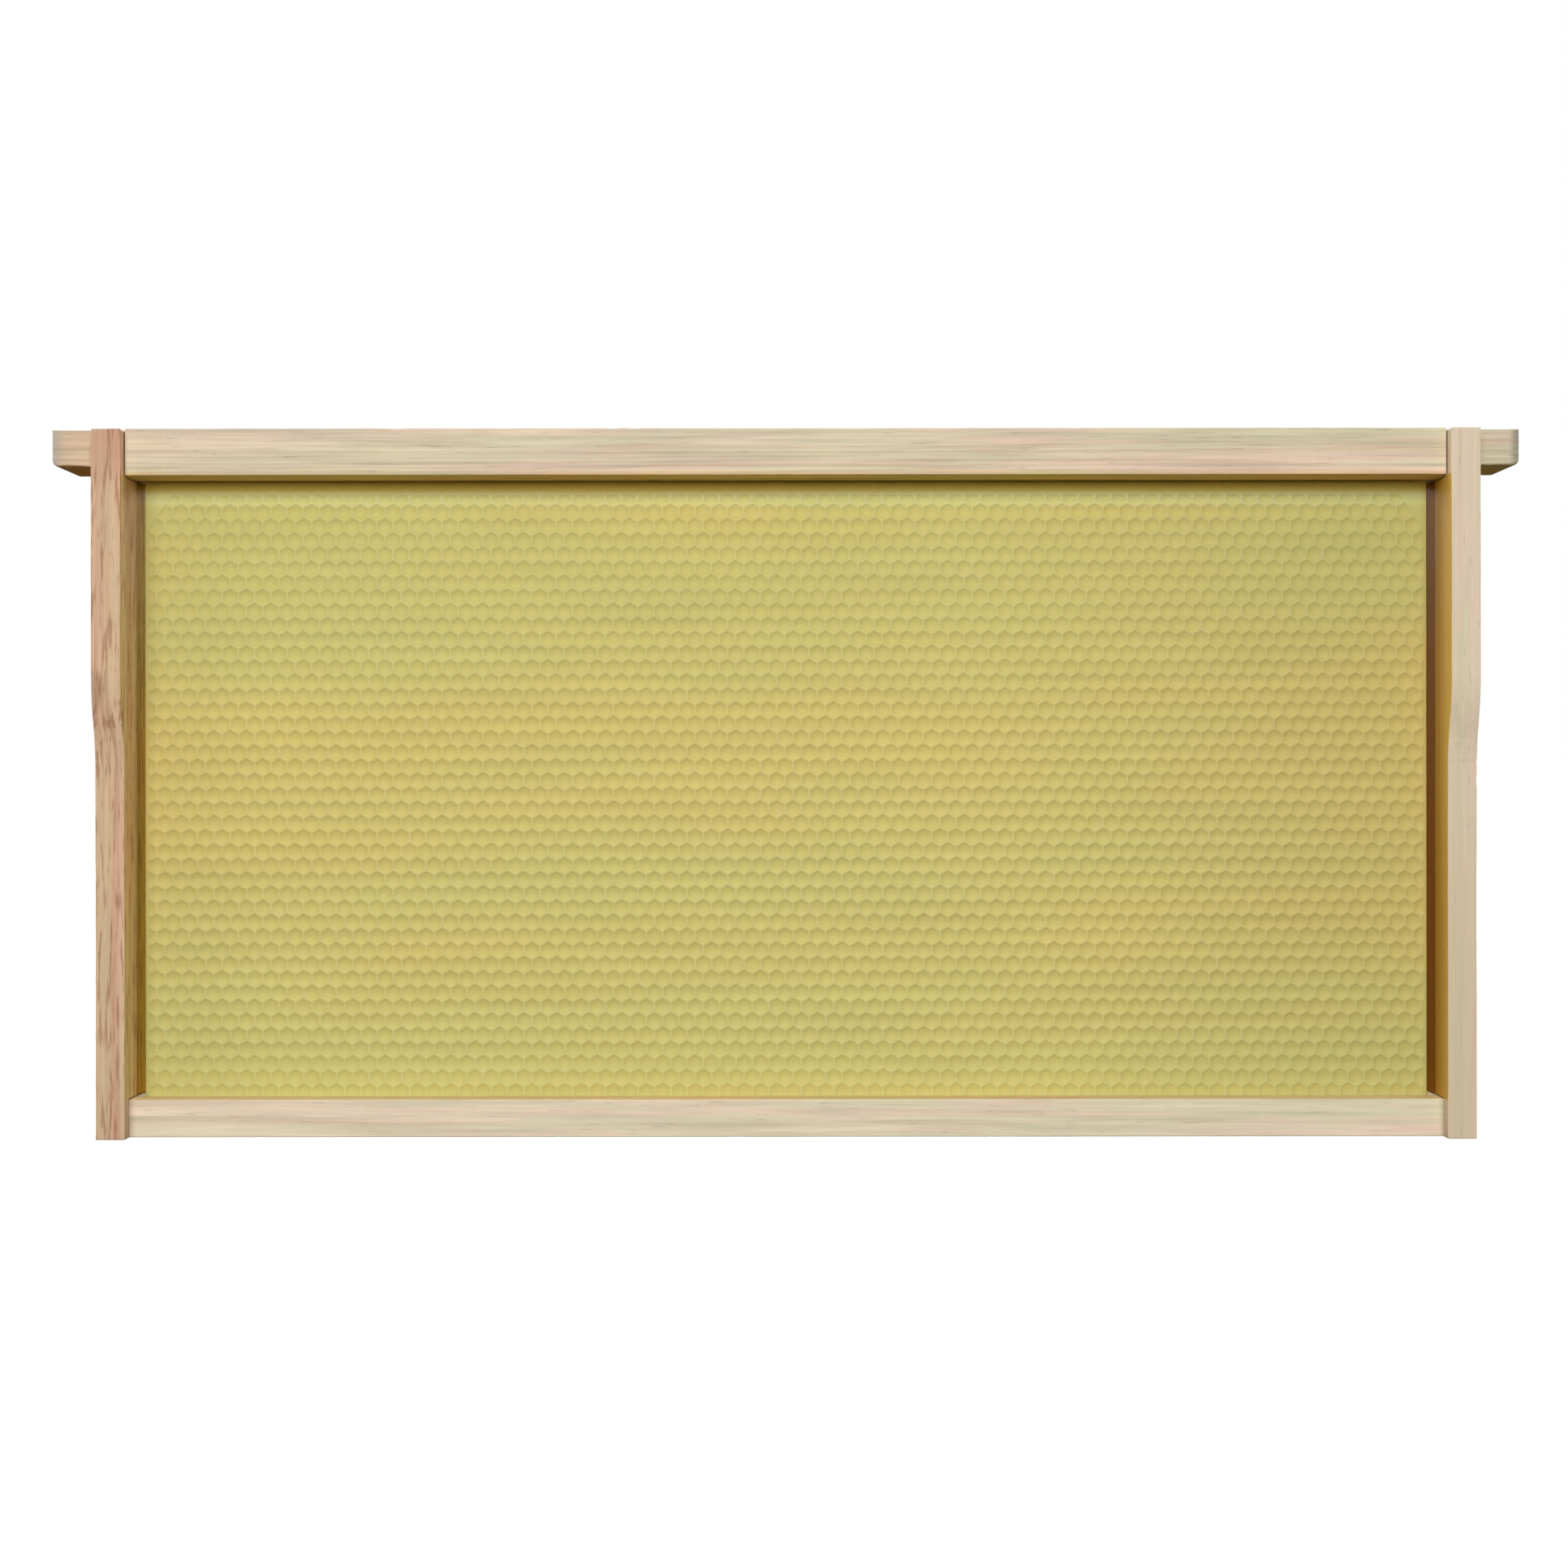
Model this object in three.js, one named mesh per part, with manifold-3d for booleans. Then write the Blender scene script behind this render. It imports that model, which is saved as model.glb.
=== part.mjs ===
// A Langstroth deep hive frame with plastic foundation: a top bar with two lugs, two self-spacing side bars,
// a grooved bottom bar, an embossed foundation sheet snapped into the grooves, and the ten nails that hold
// it together. Millimetres, +Z up. X runs along the top bar, Y across the frame's thickness, and the frame
// stands on Z = 0 with its front face towards -Y.
import * as THREE from "three";
import { mergeVertices } from "three/addons/utils/BufferGeometryUtils.js";
import Module from "manifold-3d";

const wasm = await Module();
wasm.setup();

// Overall sizes
const FRAME_HEIGHT = 232.9; // to the top bar's upper face
const SIDE_BAR_HEIGHT = 232.3; // about 9 1/8 inches; the top bar stands a hair proud of it
const TOP_BAR_LENGTH = 482.6; // lug tip to lug tip, 19 inches
const BODY_LENGTH = 452.4; // across the outer faces of the two side bars

// Wood sections
const TOP_BAR_WIDTH = 28;
const TOP_BAR_THICKNESS = 15.4;
const LUG_THICKNESS = 11.9;
const LUG_CORNER = 2; // radius of the lower corner of each lug's tip
const NECK_WIDTH = 22; // the top bar's narrow ends, which the side bars' forks grip and which run out as the lugs
const SIDE_BAR_THICKNESS = 9.7;
const SPACING_WIDTH = 35; // the side bar's wide upper part, which sets the gap between neighbouring combs
const PASSAGE_WIDTH = 27.4; // its narrow lower part, which leaves bees a way past
const SHOULDER_TOP = 80; // from the side bar's top down to where the wide part starts to narrow
const SHOULDER_LENGTH = 32;
const BOTTOM_BAR_WIDTH = 18;
const BOTTOM_BAR_THICKNESS = 12.5;
const FIT_GAP = 0.2; // clearance of a machined wood joint

// Foundation and its grooves
const GROOVE_WIDTH = 3.2;
const TOP_GROOVE_DEPTH = 3.2;
const BOTTOM_GROOVE_DEPTH = 4;
const SHEET_WIDTH = 428;
const SHEET_END_PLAY = 0.3; // between the sheet's edge and the floor of each groove
const RIM_THICKNESS = 1.8;
const CELL_FIELD_THICKNESS = 2.8; // over the tips of the embossed cell walls on both faces
const SIDE_RIM = 1.5; // plain rim left and right of the cells
const TOP_RIM = 5; // plain rim that shows under the top bar
const FIELD_CORNER = { across: 8, down: 11 }; // the plain triangle at each top corner of the cells
const SHEET_CORNER = 2.5; // clipped corners, so that the sheet starts easily into the grooves

// Nails
const NAIL = { shank: 0.65, head: 1.35, headThickness: 0.6, point: 2.4, clearance: 0.3 };
const TOP_NAIL_LENGTH = 30;
const BOTTOM_NAIL_LENGTH = 26;
const CROSS_NAIL_LENGTH = 15;
const NAIL_ACROSS = 6; // each pair of nails stands this far either side of the frame's middle plane
const NAIL_STAGGER = 1.8; // and this far either side of the side bar's own middle, so that it doesn't split
const CROSS_NAIL_BELOW_TOP = 7.5;

const NAIL_SIDES = 12;

// Heights and places that follow from the sizes
const topBarUnderside = FRAME_HEIGHT - TOP_BAR_THICKNESS;
const lugUnderside = FRAME_HEIGHT - LUG_THICKNESS;
const sideBarMiddle = (BODY_LENGTH - SIDE_BAR_THICKNESS) / 2;
const sheetBottom = BOTTOM_BAR_THICKNESS - BOTTOM_GROOVE_DEPTH + SHEET_END_PLAY;
const sheetTop = topBarUnderside + TOP_GROOVE_DEPTH - SHEET_END_PLAY;

const PINE = new THREE.MeshStandardMaterial({ color: 0xd8c4a6, roughness: 0.72, metalness: 0 });
const RED_PINE = new THREE.MeshStandardMaterial({ color: 0xc9a481, roughness: 0.72, metalness: 0 });
const WAXED_PLASTIC = new THREE.MeshStandardMaterial({ color: 0xc9bb73, roughness: 0.5, metalness: 0 });
const STEEL = new THREE.MeshStandardMaterial({ color: 0xa8a9a6, roughness: 0.4, metalness: 0.9 });

// ---- Solids ----

function solidOf(geometry) {
  const bare = geometry.clone();
  bare.deleteAttribute("normal");
  bare.deleteAttribute("uv");
  const merged = mergeVertices(bare, 1e-4);
  return new wasm.Manifold(
    new wasm.Mesh({
      numProp: 3,
      vertProperties: merged.attributes.position.array,
      triVerts: new Uint32Array(merged.index.array),
    }),
  );
}

function geometryOf(solid) {
  const mesh = solid.getMesh();
  const geometry = new THREE.BufferGeometry();
  geometry.setAttribute("position", new THREE.BufferAttribute(mesh.vertProperties, 3));
  geometry.setIndex(new THREE.BufferAttribute(mesh.triVerts, 1));
  const faceted = geometry.toNonIndexed();
  faceted.computeVertexNormals();
  return faceted;
}

function cut(geometry, cutters) {
  return geometryOf(cutters.reduce((solid, cutter) => solid.subtract(solidOf(cutter)), solidOf(geometry)));
}

// A box from its lowest to its highest corner.
function box([x0, y0, z0], [x1, y1, z1]) {
  const geometry = new THREE.BoxGeometry(x1 - x0, y1 - y0, z1 - z0);
  return geometry.translate((x0 + x1) / 2, (y0 + y1) / 2, (z0 + z1) / 2);
}

function polygon(points) {
  return new THREE.Shape(points.map(([u, v]) => new THREE.Vector2(u, v)));
}

// An outline drawn in X and Z, made into a plate of the given thickness about Y = 0.
function plateXZ(outline, thickness) {
  const geometry = new THREE.ExtrudeGeometry(outline, { depth: thickness, bevelEnabled: false });
  return geometry.translate(0, 0, -thickness / 2).rotateX(Math.PI / 2);
}

// An outline drawn in Y and Z, made into a plate of the given thickness about X = middle.
function plateYZ(outline, thickness, middle) {
  const settings = { depth: thickness, bevelEnabled: false, curveSegments: 10 };
  const geometry = new THREE.ExtrudeGeometry(outline, settings);
  geometry.translate(0, 0, -thickness / 2).rotateX(Math.PI / 2).rotateZ(Math.PI / 2);
  return geometry.translate(middle, 0, 0);
}

// A round rod from the origin down along -Z.
function rodDown(radius, length, sides) {
  const geometry = new THREE.CylinderGeometry(radius, radius, length, sides);
  return geometry.rotateX(Math.PI / 2).translate(0, 0, -length / 2);
}

// ---- Nails: where each one is, which way it points, and the hole that it needs ----

const DOWN = new THREE.Euler(0, 0, 0);
const UP = new THREE.Euler(Math.PI, 0, 0);
const FORWARD = new THREE.Euler(-Math.PI / 2, 0, 0); // head on the back face, point towards the front

// Both ends of the frame are alike, so each nail has a twin: side is -1 at the left end and +1 at the right.
function nailsAt(side, sideName) {
  const crossNailHeight = FRAME_HEIGHT - CROSS_NAIL_BELOW_TOP;
  const inner = side * (sideBarMiddle - NAIL_STAGGER);
  const outer = side * (sideBarMiddle + NAIL_STAGGER);
  const nail = (name, x, y, z, facing, length) => ({
    name: `${name}_${sideName}`,
    position: new THREE.Vector3(x, y, z),
    facing,
    length,
  });
  return [
    nail("top_bar_nail_front", outer, -NAIL_ACROSS, FRAME_HEIGHT, DOWN, TOP_NAIL_LENGTH),
    nail("top_bar_nail_back", inner, NAIL_ACROSS, FRAME_HEIGHT, DOWN, TOP_NAIL_LENGTH),
    nail("bottom_bar_nail_front", outer, -NAIL_ACROSS, 0, UP, BOTTOM_NAIL_LENGTH),
    nail("bottom_bar_nail_back", inner, NAIL_ACROSS, 0, UP, BOTTOM_NAIL_LENGTH),
    nail("fork_nail", outer, SPACING_WIDTH / 2, crossNailHeight, FORWARD, CROSS_NAIL_LENGTH),
  ];
}

const nails = [...nailsAt(-1, "left"), ...nailsAt(1, "right")];

function nailGeometry(length) {
  const profile = [
    [0, -length],
    [NAIL.shank, -length + NAIL.point],
    [NAIL.shank, -NAIL.headThickness],
    [NAIL.head, -NAIL.headThickness],
    [NAIL.head, 0],
    [0, 0],
  ];
  const points = profile.map(([radius, height]) => new THREE.Vector2(radius, height));
  return new THREE.LatheGeometry(points, NAIL_SIDES).rotateX(Math.PI / 2);
}

// The hole of a driven nail: a bore past its point and a seat that lets its head lie flush.
function nailHole({ position, facing, length }) {
  const bore = rodDown(NAIL.shank + NAIL.clearance, length + NAIL.clearance, NAIL_SIDES);
  const seat = rodDown(NAIL.head + NAIL.clearance, NAIL.headThickness + NAIL.clearance, NAIL_SIDES);
  const placed = new THREE.Matrix4().makeRotationFromEuler(facing).setPosition(position);
  return [bore.applyMatrix4(placed), seat.applyMatrix4(placed)];
}

const nailHoles = nails.flatMap(nailHole);

// ---- Wood ----

// The top bar is thick between the side bars' outer faces and thin in the lugs. Both its ends are cut down in
// width for the forks, and it has a groove along its underside for the foundation.
function topBarGeometry() {
  const lugEnd = TOP_BAR_LENGTH / 2;
  const shoulder = BODY_LENGTH / 2;
  const cornerAngles = [0, 22.5, 45, 67.5, 90].map(THREE.MathUtils.degToRad);
  const lugCorner = cornerAngles.map((angle) => [
    lugEnd - LUG_CORNER * (1 - Math.sin(angle)),
    lugUnderside + LUG_CORNER * (1 - Math.cos(angle)),
  ]);
  const rightEnd = [[shoulder, topBarUnderside], [shoulder, lugUnderside], ...lugCorner, [lugEnd, FRAME_HEIGHT]];
  const leftEnd = rightEnd.map(([x, z]) => [-x, z]).reverse();
  const cheeks = [-1, 1].flatMap((side) => {
    const near = side * (shoulder - SIDE_BAR_THICKNESS - FIT_GAP);
    const far = side * (lugEnd + 1);
    const [x0, x1] = [Math.min(near, far), Math.max(near, far)];
    return [-1, 1].map((face) => {
      const [y0, y1] = face < 0 ? [-TOP_BAR_WIDTH, -NECK_WIDTH / 2] : [NECK_WIDTH / 2, TOP_BAR_WIDTH];
      return box([x0, y0, topBarUnderside - 1], [x1, y1, FRAME_HEIGHT + 1]);
    });
  });
  const groove = box(
    [-shoulder - 1, -GROOVE_WIDTH / 2, topBarUnderside - 1],
    [shoulder + 1, GROOVE_WIDTH / 2, topBarUnderside + TOP_GROOVE_DEPTH],
  );
  return cut(plateXZ(polygon([...leftEnd, ...rightEnd]), TOP_BAR_WIDTH), [...cheeks, groove, ...nailHoles]);
}

// A side bar seen from its end: a fork at the top for the top bar, the wide spacing part, a hollow shoulder
// on each edge, the narrow part, and a slot at the foot for the bottom bar.
function sideBarGeometry(side) {
  const wide = SPACING_WIDTH / 2;
  const narrow = PASSAGE_WIDTH / 2;
  const forkHalf = NECK_WIDTH / 2 + FIT_GAP;
  const forkFloor = topBarUnderside - FIT_GAP;
  const slotHalf = BOTTOM_BAR_WIDTH / 2 + FIT_GAP;
  const slotRoof = BOTTOM_BAR_THICKNESS + FIT_GAP;
  const shoulderTop = SIDE_BAR_HEIGHT - SHOULDER_TOP;
  const shoulderFoot = shoulderTop - SHOULDER_LENGTH;
  // Each shoulder is an S of two equal arcs that meet both edges without a corner.
  const step = wide - narrow;
  const radius = (SHOULDER_LENGTH ** 2 + step ** 2) / (4 * step);
  const sweep = Math.asin(SHOULDER_LENGTH / 2 / radius);

  const outline = new THREE.Shape();
  outline.moveTo(-wide, SIDE_BAR_HEIGHT);
  outline.lineTo(-wide, shoulderTop);
  outline.absarc(-wide + radius, shoulderTop, radius, Math.PI, Math.PI + sweep, false);
  outline.absarc(-narrow - radius, shoulderFoot, radius, sweep, 0, true);
  outline.lineTo(-narrow, 0);
  outline.lineTo(-slotHalf, 0);
  outline.lineTo(-slotHalf, slotRoof);
  outline.lineTo(slotHalf, slotRoof);
  outline.lineTo(slotHalf, 0);
  outline.lineTo(narrow, 0);
  outline.lineTo(narrow, shoulderFoot);
  outline.absarc(narrow + radius, shoulderFoot, radius, Math.PI, Math.PI - sweep, true);
  outline.absarc(wide - radius, shoulderTop, radius, -sweep, 0, false);
  outline.lineTo(wide, SIDE_BAR_HEIGHT);
  outline.lineTo(forkHalf, SIDE_BAR_HEIGHT);
  outline.lineTo(forkHalf, forkFloor);
  outline.lineTo(-forkHalf, forkFloor);
  outline.lineTo(-forkHalf, SIDE_BAR_HEIGHT);

  const middle = side * sideBarMiddle;
  return cut(plateYZ(outline, SIDE_BAR_THICKNESS, middle), nailHoles);
}

// The bottom bar runs through both side bars' slots, and has a groove along its top for the foundation.
function bottomBarGeometry() {
  const end = BODY_LENGTH / 2;
  const half = BOTTOM_BAR_WIDTH / 2;
  const groove = box(
    [-end - 1, -GROOVE_WIDTH / 2, BOTTOM_BAR_THICKNESS - BOTTOM_GROOVE_DEPTH],
    [end + 1, GROOVE_WIDTH / 2, BOTTOM_BAR_THICKNESS + 1],
  );
  return cut(box([-end, -half, 0], [end, half, BOTTOM_BAR_THICKNESS]), [groove, ...nailHoles]);
}

// ---- Foundation ----

// The sheet is a thin rim with the thicker cell field joined to it, plain at the two top corners.
function foundationGeometry() {
  const half = SHEET_WIDTH / 2;
  const rim = polygon([
    [-half + SHEET_CORNER, sheetBottom],
    [half - SHEET_CORNER, sheetBottom],
    [half, sheetBottom + SHEET_CORNER],
    [half, sheetTop - SHEET_CORNER],
    [half - SHEET_CORNER, sheetTop],
    [-half + SHEET_CORNER, sheetTop],
    [-half, sheetTop - SHEET_CORNER],
    [-half, sheetBottom + SHEET_CORNER],
  ]);
  const fieldHalf = half - SIDE_RIM;
  const fieldTop = topBarUnderside - TOP_RIM;
  const field = polygon([
    [-fieldHalf, sheetBottom],
    [fieldHalf, sheetBottom],
    [fieldHalf, fieldTop - FIELD_CORNER.down],
    [fieldHalf - FIELD_CORNER.across, fieldTop],
    [-fieldHalf + FIELD_CORNER.across, fieldTop],
    [-fieldHalf, fieldTop - FIELD_CORNER.down],
  ]);
  const sheet = solidOf(plateXZ(rim, RIM_THICKNESS)).add(solidOf(plateXZ(field, CELL_FIELD_THICKNESS)));
  // The rim and the field share the bottom edge, so the field is trimmed to the rim's clipped corners.
  const clips = [-1, 1].map((side) => {
    const corner = polygon([
      [side * (half + 1), sheetBottom - 1],
      [side * (half + 1), sheetBottom + SHEET_CORNER + 1],
      [side * (half - SHEET_CORNER - 1), sheetBottom - 1],
    ]);
    return solidOf(plateXZ(corner, 2 * CELL_FIELD_THICKNESS));
  });
  return geometryOf(clips.reduce((solid, clip) => solid.subtract(clip), sheet));
}

// ---- Assembly ----

const frame = new THREE.Group();

function addPiece(name, geometry, material) {
  const mesh = new THREE.Mesh(geometry, material);
  mesh.name = name;
  frame.add(mesh);
  return mesh;
}

addPiece("top_bar", topBarGeometry(), PINE);
addPiece("side_bar_left", sideBarGeometry(-1), RED_PINE);
addPiece("side_bar_right", sideBarGeometry(1), PINE);
addPiece("bottom_bar", bottomBarGeometry(), PINE);
addPiece("foundation", foundationGeometry(), WAXED_PLASTIC);
for (const { name, position, facing, length } of nails) {
  const nail = addPiece(name, nailGeometry(length), STEEL);
  nail.position.copy(position);
  nail.rotation.copy(facing);
}

export default frame;
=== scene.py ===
"""A deep hive frame: five wood and plastic pieces and ten nails, lit softly on a pale floor.

Everything is in metres in the CAD frame: X along the top bar, Y through the frame's thickness with the front
towards -Y, and Z up from the floor.
"""

import math
import random

import bmesh
import bpy
from mathutils import Matrix, Vector, noise


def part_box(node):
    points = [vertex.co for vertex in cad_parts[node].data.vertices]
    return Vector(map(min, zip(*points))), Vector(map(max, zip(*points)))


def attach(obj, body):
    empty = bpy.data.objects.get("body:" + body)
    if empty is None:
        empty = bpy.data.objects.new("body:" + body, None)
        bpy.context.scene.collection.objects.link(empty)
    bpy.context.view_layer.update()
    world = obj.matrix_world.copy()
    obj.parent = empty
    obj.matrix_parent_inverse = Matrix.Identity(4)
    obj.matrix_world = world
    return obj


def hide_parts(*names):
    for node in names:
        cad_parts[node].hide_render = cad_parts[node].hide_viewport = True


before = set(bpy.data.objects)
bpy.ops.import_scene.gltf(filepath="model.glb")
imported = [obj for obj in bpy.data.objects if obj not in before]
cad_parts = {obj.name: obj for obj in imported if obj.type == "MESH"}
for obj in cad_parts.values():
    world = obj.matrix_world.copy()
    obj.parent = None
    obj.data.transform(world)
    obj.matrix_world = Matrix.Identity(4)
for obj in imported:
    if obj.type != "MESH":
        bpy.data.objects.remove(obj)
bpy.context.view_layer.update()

MM = 0.001
scene = bpy.context.scene


def rgb(red, green, blue):
    """A colour from 0-255 screen values, as the linear values that shaders take."""
    def linear(value):
        c = value / 255
        return c / 12.92 if c <= 0.04045 else ((c + 0.055) / 1.055) ** 2.4
    return (linear(red), linear(green), linear(blue), 1.0)


# ---------------------------------------------------------------- camera and stage

def add_camera():
    """Square to the frame's front, level, and a little above its middle."""
    data = bpy.data.cameras.new("camera")
    data.sensor_width = 36
    data.lens = 43.33
    data.clip_start = 0.01
    data.clip_end = 50
    camera = bpy.data.objects.new("camera", data)
    scene.collection.objects.link(camera)
    upright = Matrix.Rotation(math.radians(90), 4, "X")
    roll = Matrix.Rotation(math.radians(0.054), 4, "Y")
    place = Vector((-0.65, -631.25, 116.4)) * MM
    camera.matrix_world = Matrix.Translation(place) @ roll @ upright
    scene.camera = camera


def add_light(name, size, power, place):
    """A rectangular softbox aimed at the frame's middle."""
    data = bpy.data.lights.new(name, "AREA")
    data.shape = "RECTANGLE"
    data.size, data.size_y = size
    data.energy = power
    light = bpy.data.objects.new(name, data)
    scene.collection.objects.link(light)
    light.location = place
    aim = Vector((0, 0, 0.12)) - Vector(place)
    light.rotation_euler = aim.to_track_quat("-Z", "Y").to_euler()


def add_lights():
    """A wide softbox in front, above the frame's middle, with weaker ones at the sides, above and behind."""
    add_light("softbox_front", (1.9, 1.0), 36, (-0.12, -1.85, 0.72))
    add_light("softbox_left", (0.12, 0.8), 13, (-2.0, 0, 0.45))
    add_light("softbox_right", (0.12, 0.8), 13, (2.0, 0, 0.45))
    add_light("softbox_top", (1.6, 0.8), 6, (0, -0.15, 1.75))
    add_light("softbox_back", (0.3, 0.6), 25, (0, 2.0, 0.85))


def add_world():
    """White where the camera sees it, and otherwise a faint warm glow, fainter from behind the frame."""
    world = bpy.data.worlds.new("studio")
    scene.world = world
    n = Nodes(world)
    n.tree.nodes.clear()
    forward = n.split(n.coords("Generated"))[1]
    ambient = n.tree.nodes.new("ShaderNodeBackground")
    ambient.inputs["Color"].default_value = (1, 0.91, 0.76, 1)
    n.put(n.ramp(forward, -0.3, 0.5, 0.12, 0.03), ambient.inputs["Strength"])
    backdrop = n.tree.nodes.new("ShaderNodeBackground")
    backdrop.inputs["Color"].default_value = (1, 1, 1, 1)
    path = n.tree.nodes.new("ShaderNodeLightPath")
    mix = n.tree.nodes.new("ShaderNodeMixShader")
    output = n.tree.nodes.new("ShaderNodeOutputWorld")
    n.put(path.outputs["Is Camera Ray"], mix.inputs["Fac"])
    n.put(ambient.outputs[0], mix.inputs[1])
    n.put(backdrop.outputs[0], mix.inputs[2])
    n.put(mix.outputs[0], output.inputs["Surface"])


def add_floor():
    """White paper that glows a little, and more away from the frame, so it runs into the white backdrop."""
    mesh = bpy.data.meshes.new("floor")
    half, low = 12, -0.02 * MM  # just below the frame's feet
    corners = [(-half, -half, low), (half, -half, low), (half, half, low), (-half, half, low)]
    mesh.from_pydata(corners, [], [(0, 1, 2, 3)])
    floor = bpy.data.objects.new("floor", mesh)
    scene.collection.objects.link(floor)
    floor.visible_diffuse = False  # it shouldn't light the frame from below
    floor.visible_glossy = False
    n = Nodes(bpy.data.materials.new("floor_paper"))
    away = n.vector("LENGTH", n.coords())
    fibre = n.noise(n.coords(), scale=900, detail=2.0)
    n.put(n.ramp(away, 0.3, 1.3, 0.5, 1.05), n.shader.inputs["Emission Strength"])
    n.shader.inputs["Emission Color"].default_value = (1, 1, 1, 1)
    mesh.materials.append(n.finish((0.93, 0.93, 0.93, 1), 0.9, n.bump(fibre, 0.05 * MM, 0.3), specular=0.1))


# ---------------------------------------------------------------- helpers

class Nodes:
    """The node tree of a material or of the world, built one short call at a time."""

    def __init__(self, owner):
        self.owner = owner
        owner.use_nodes = True
        self.tree = owner.node_tree
        self.shader = self.tree.nodes.get("Principled BSDF")

    def put(self, value, socket):
        """Links an output to a socket, or writes a plain value to it."""
        if isinstance(value, bpy.types.NodeSocket):
            self.tree.links.new(value, socket)
        else:
            socket.default_value = value

    def math(self, operation, a, b=0.0, c=0.0):
        node = self.tree.nodes.new("ShaderNodeMath")
        node.operation = operation
        for value, socket in zip((a, b, c), node.inputs):
            self.put(value, socket)
        return node.outputs[0]

    def vector(self, operation, a, b=(0, 0, 0), c=(0, 0, 0)):
        node = self.tree.nodes.new("ShaderNodeVectorMath")
        node.operation = operation
        for value, socket in zip((a, b, c), node.inputs):
            self.put(value, socket)
        return node.outputs["Value" if operation in ("LENGTH", "DOT_PRODUCT") else "Vector"]

    def coords(self, kind="Object"):
        return self.tree.nodes.new("ShaderNodeTexCoord").outputs[kind]

    def split(self, vector):
        node = self.tree.nodes.new("ShaderNodeSeparateXYZ")
        self.put(vector, node.inputs[0])
        return node.outputs[0], node.outputs[1], node.outputs[2]

    def join(self, x, y, z):
        node = self.tree.nodes.new("ShaderNodeCombineXYZ")
        for value, socket in zip((x, y, z), node.inputs):
            self.put(value, socket)
        return node.outputs[0]

    def place(self, vector, location=(0, 0, 0), rotation=(0, 0, 0), scale=(1, 1, 1)):
        node = self.tree.nodes.new("ShaderNodeMapping")
        self.put(vector, node.inputs["Vector"])
        node.inputs["Location"].default_value = location
        node.inputs["Rotation"].default_value = rotation
        node.inputs["Scale"].default_value = scale
        return node.outputs[0]

    def noise(self, vector, scale=1.0, detail=2.0, roughness=0.5, colour=False):
        node = self.tree.nodes.new("ShaderNodeTexNoise")
        self.put(vector, node.inputs["Vector"])
        node.inputs["Scale"].default_value = scale
        node.inputs["Detail"].default_value = detail
        node.inputs["Roughness"].default_value = roughness
        return node.outputs[1 if colour else 0]

    def random_by(self, value):
        node = self.tree.nodes.new("ShaderNodeTexWhiteNoise")
        node.noise_dimensions = "1D"
        self.put(value, node.inputs["W"])
        return node.outputs["Value"]

    def ramp(self, value, low, high, to_low=0.0, to_high=1.0):
        node = self.tree.nodes.new("ShaderNodeMapRange")
        node.interpolation_type = "SMOOTHSTEP"
        for item, socket in zip((value, low, high, to_low, to_high), node.inputs):
            self.put(item, socket)
        return node.outputs[0]

    def mix(self, factor, a, b, blend="MIX"):
        node = self.tree.nodes.new("ShaderNodeMix")
        node.data_type = "RGBA"
        node.blend_type = blend
        self.put(factor, node.inputs[0])
        self.put(a, node.inputs[6])
        self.put(b, node.inputs[7])
        return node.outputs[2]

    def tint(self, amount, colour, by):
        """The colour multiplied by another one, as far as amount says."""
        return self.mix(amount, colour, self.mix(1.0, colour, by, "MULTIPLY"))

    def bump(self, height, distance, strength):
        node = self.tree.nodes.new("ShaderNodeBump")
        node.inputs["Strength"].default_value = strength
        node.inputs["Distance"].default_value = distance
        self.put(height, node.inputs["Height"])
        return node.outputs[0]

    def finish(self, colour, roughness, normal, specular):
        self.put(colour, self.shader.inputs["Base Color"])
        self.put(roughness, self.shader.inputs["Roughness"])
        self.put(normal, self.shader.inputs["Normal"])
        self.put(specular, self.shader.inputs["Specular IOR Level"])
        return self.owner


def add_object(name, bm, material, crease):
    """Makes an object of bm, which it frees. Shading breaks where faces turn by more than crease degrees."""
    mesh = bpy.data.meshes.new(name)
    bm.to_mesh(mesh)
    bm.free()
    mesh.materials.append(material)
    mesh.set_sharp_from_angle(angle=math.radians(crease))
    made = bpy.data.objects.new(name, mesh)
    scene.collection.objects.link(made)
    return made


add_camera()
add_lights()
add_world()
add_floor()
scene.view_settings.view_transform = "Standard"


# ---------------------------------------------------------------- wood

SHOULDER = (119 * MM, 154 * MM)  # the side bars' curved shoulders are between these heights
CRISP = math.radians(25)  # an edge that turns by more than this is a corner of the wood
EASE = 0.42 * MM  # how far the sander took the corners back
SHORTEST_EASED = 2.2 * MM
LUG_ROUNDING = 1.1 * MM
STATION = 2.4 * MM  # from cut to cut along a bar, for its wear
PAINTED_LIGHT_MIDDLE = 3 * MM  # the painted bounce light and shade are centred this far behind the sheet's middle


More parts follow.
